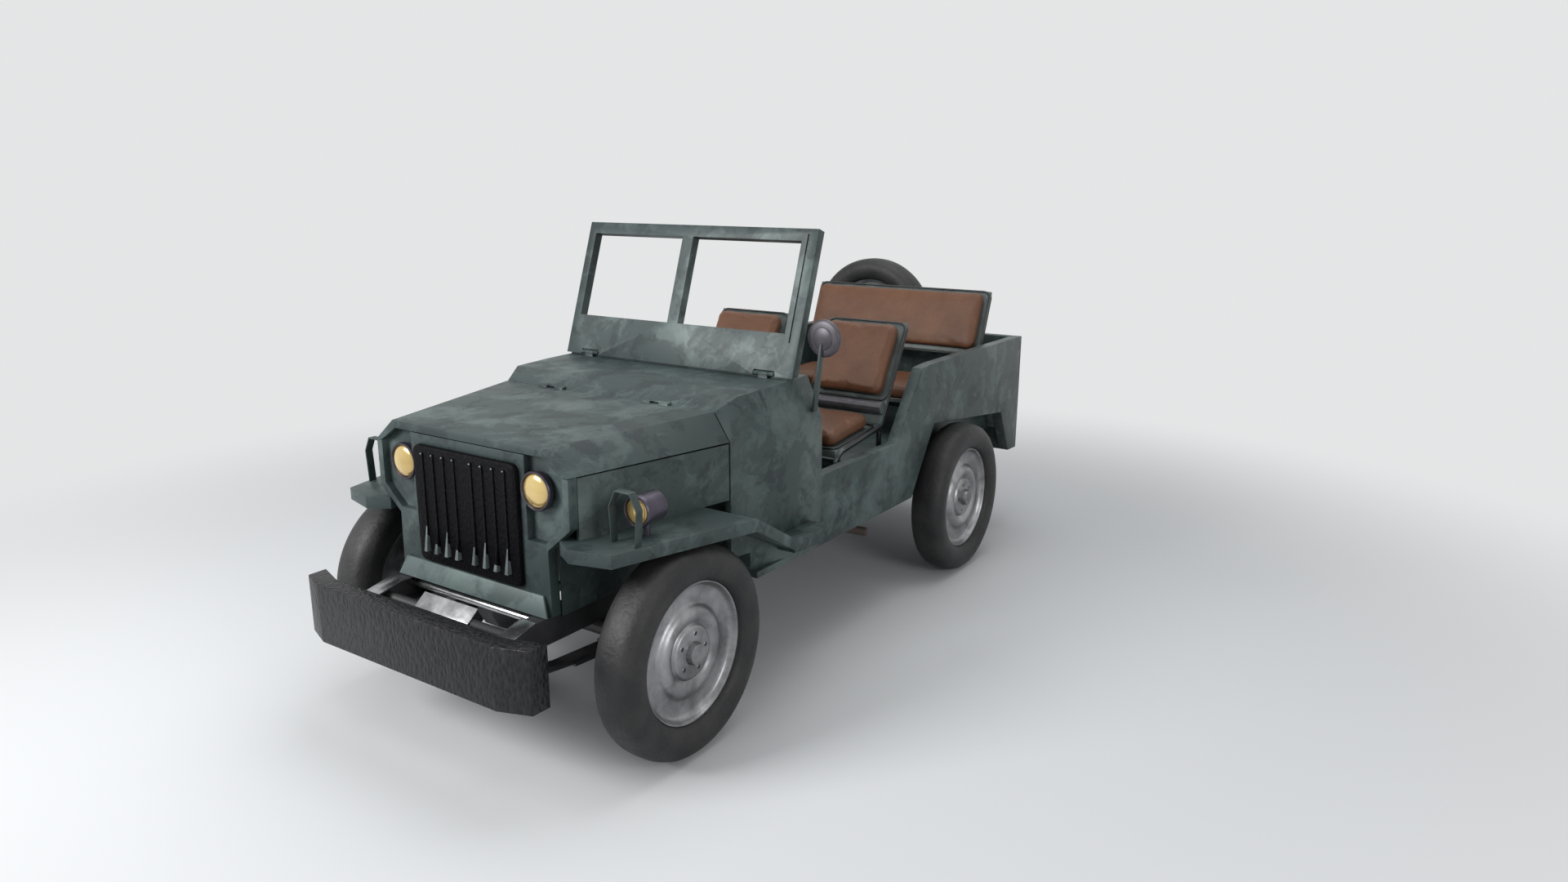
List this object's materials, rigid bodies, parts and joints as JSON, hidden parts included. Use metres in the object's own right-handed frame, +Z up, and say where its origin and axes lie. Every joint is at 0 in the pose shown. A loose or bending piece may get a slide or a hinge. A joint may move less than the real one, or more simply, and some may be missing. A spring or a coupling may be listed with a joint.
{
  "type": "army 4x4 car",
  "caption": "Open military four-wheel-drive car with a folding windshield, hinged hood, steered front wheels, seats, a rear bench and a spare wheel.",
  "frame": {"origin": "on the ground under the middle of the car's outline", "axes": "+X to the car's left, -Y forwards, +Z up"},
  "size_m": [1.514, 3.553, 1.6121],
  "materials": {
    "body_paint": "dark blue-green paint, mottled",
    "dark_frame": "dark chassis paint",
    "engine_grey": "cast grey",
    "exhaust_metal": "dull brown-grey",
    "bare_steel": "bare pressed steel",
    "bumper_black": "black wrinkle paint",
    "grille_black": "flat black",
    "lamp_metal": "dark purplish metal",
    "amber_glass": "amber",
    "red_lamp": "red",
    "seat_metal": "dark grey-green",
    "brown_leather": "brown, fine grain",
    "steering_black": "black",
    "tyre": "worn black"
  },
  "bodies": {
    "root": {"bench_back": "brown_leather", "bench_cushion": "brown_leather", "bench_frame": "seat_metal", "chassis_frame": "dark_frame", "cowl": "body_paint", "driveline": "dark_frame", "driver_back": "brown_leather", "driver_controls": "dark_frame", "driver_cushion": "brown_leather", "engine_block": "engine_grey", "exhaust": "exhaust_metal", "fender_left": "body_paint", "fender_right": "body_paint", "front_apron": "body_paint", "front_axle": "dark_frame", "front_bumper": "bumper_black", "front_shell": "body_paint", "grille_bars": "grille_black", "grille_insert": "grille_black", "horn_plates": "bare_steel", "lamp_cans": "lamp_metal", "lamp_guards": "body_paint", "lamp_lenses": "amber_glass", "leaf_springs": "dark_frame", "mirror": "lamp_metal", "passenger_back": "brown_leather", "passenger_cushion": "brown_leather", "radiator": "grille_black", "rear_axle": "dark_frame", "rear_bumpers": "bumper_black", "seat_frames": "seat_metal", "spare_carrier": "dark_frame", "tail_lamps": "red_lamp", "tow_hook": "dark_frame", "tub": "body_paint", "tyre_spare": "tyre", "wheel_spare": "bare_steel"},
    "knuckle_left": {"knuckle_left": "dark_frame"},
    "knuckle_right": {"knuckle_right": "dark_frame"},
    "tie_rod": {"tie_rod": "dark_frame"},
    "wheel_front_left": {"tyre_front_left": "tyre", "wheel_front_left": "bare_steel"},
    "wheel_front_right": {"tyre_front_right": "tyre", "wheel_front_right": "bare_steel"},
    "wheel_rear_left": {"tyre_rear_left": "tyre", "wheel_rear_left": "bare_steel"},
    "wheel_rear_right": {"tyre_rear_right": "tyre", "wheel_rear_right": "bare_steel"},
    "steering_wheel": {"steering_wheel": "steering_black"},
    "hood": {"hood": "body_paint"},
    "windshield": {"windshield": "body_paint"}
  },
  "joints": [
    {"name": "steering_left", "type": "hinge", "parent": "root", "child": "knuckle_left", "pos_m": [0.52, -1.2085, 0.346], "axis": [0, 0, 1], "range_deg": [-26, 26]},
    {"name": "steering_right", "type": "hinge", "parent": "root", "child": "knuckle_right", "pos_m": [-0.52, -1.2085, 0.346], "axis": [0, 0, 1], "range_deg": [-26, 26]},
    {"name": "tie_rod_eye", "type": "hinge", "parent": "knuckle_left", "child": "tie_rod", "pos_m": [0.52, -1.0485, 0.363], "axis": [0, 0, 1], "range_deg": [-26, 26]},
    {"name": "steering_wheel_turn", "type": "hinge", "parent": "root", "child": "steering_wheel", "pos_m": [0.25, -0.2585, 1.015], "axis": [0, 0.788, 0.6156], "range_deg": [-370, 370]},
    {"name": "front_left_wheel", "type": "hinge", "parent": "knuckle_left", "child": "wheel_front_left", "pos_m": [0.6225, -1.2085, 0.346], "axis": [1, 0, 0], "continuous": true},
    {"name": "front_right_wheel", "type": "hinge", "parent": "knuckle_right", "child": "wheel_front_right", "pos_m": [-0.6225, -1.2085, 0.346], "axis": [1, 0, 0], "continuous": true},
    {"name": "rear_left_wheel", "type": "hinge", "parent": "root", "child": "wheel_rear_left", "pos_m": [0.6225, 0.8235, 0.346], "axis": [1, 0, 0], "continuous": true},
    {"name": "rear_right_wheel", "type": "hinge", "parent": "root", "child": "wheel_rear_right", "pos_m": [-0.6225, 0.8235, 0.346], "axis": [1, 0, 0], "continuous": true},
    {"name": "hood_hinge", "type": "hinge", "parent": "root", "child": "hood", "pos_m": [0, -0.8675, 1.039], "axis": [-1, 0, 0], "range_deg": [0, 105]},
    {"name": "windshield_hinge", "type": "hinge", "parent": "root", "child": "windshield", "pos_m": [0, -0.4865, 1.1], "axis": [-1, 0, 0], "range_deg": [-108, 0]}
  ],
  "couplings": [
    {"joint": "steering_right", "follows": "steering_left", "ratio": 1},
    {"joint": "tie_rod_eye", "follows": "steering_left", "ratio": -1},
    {"joint": "steering_wheel_turn", "follows": "steering_left", "ratio": 14}
  ]
}
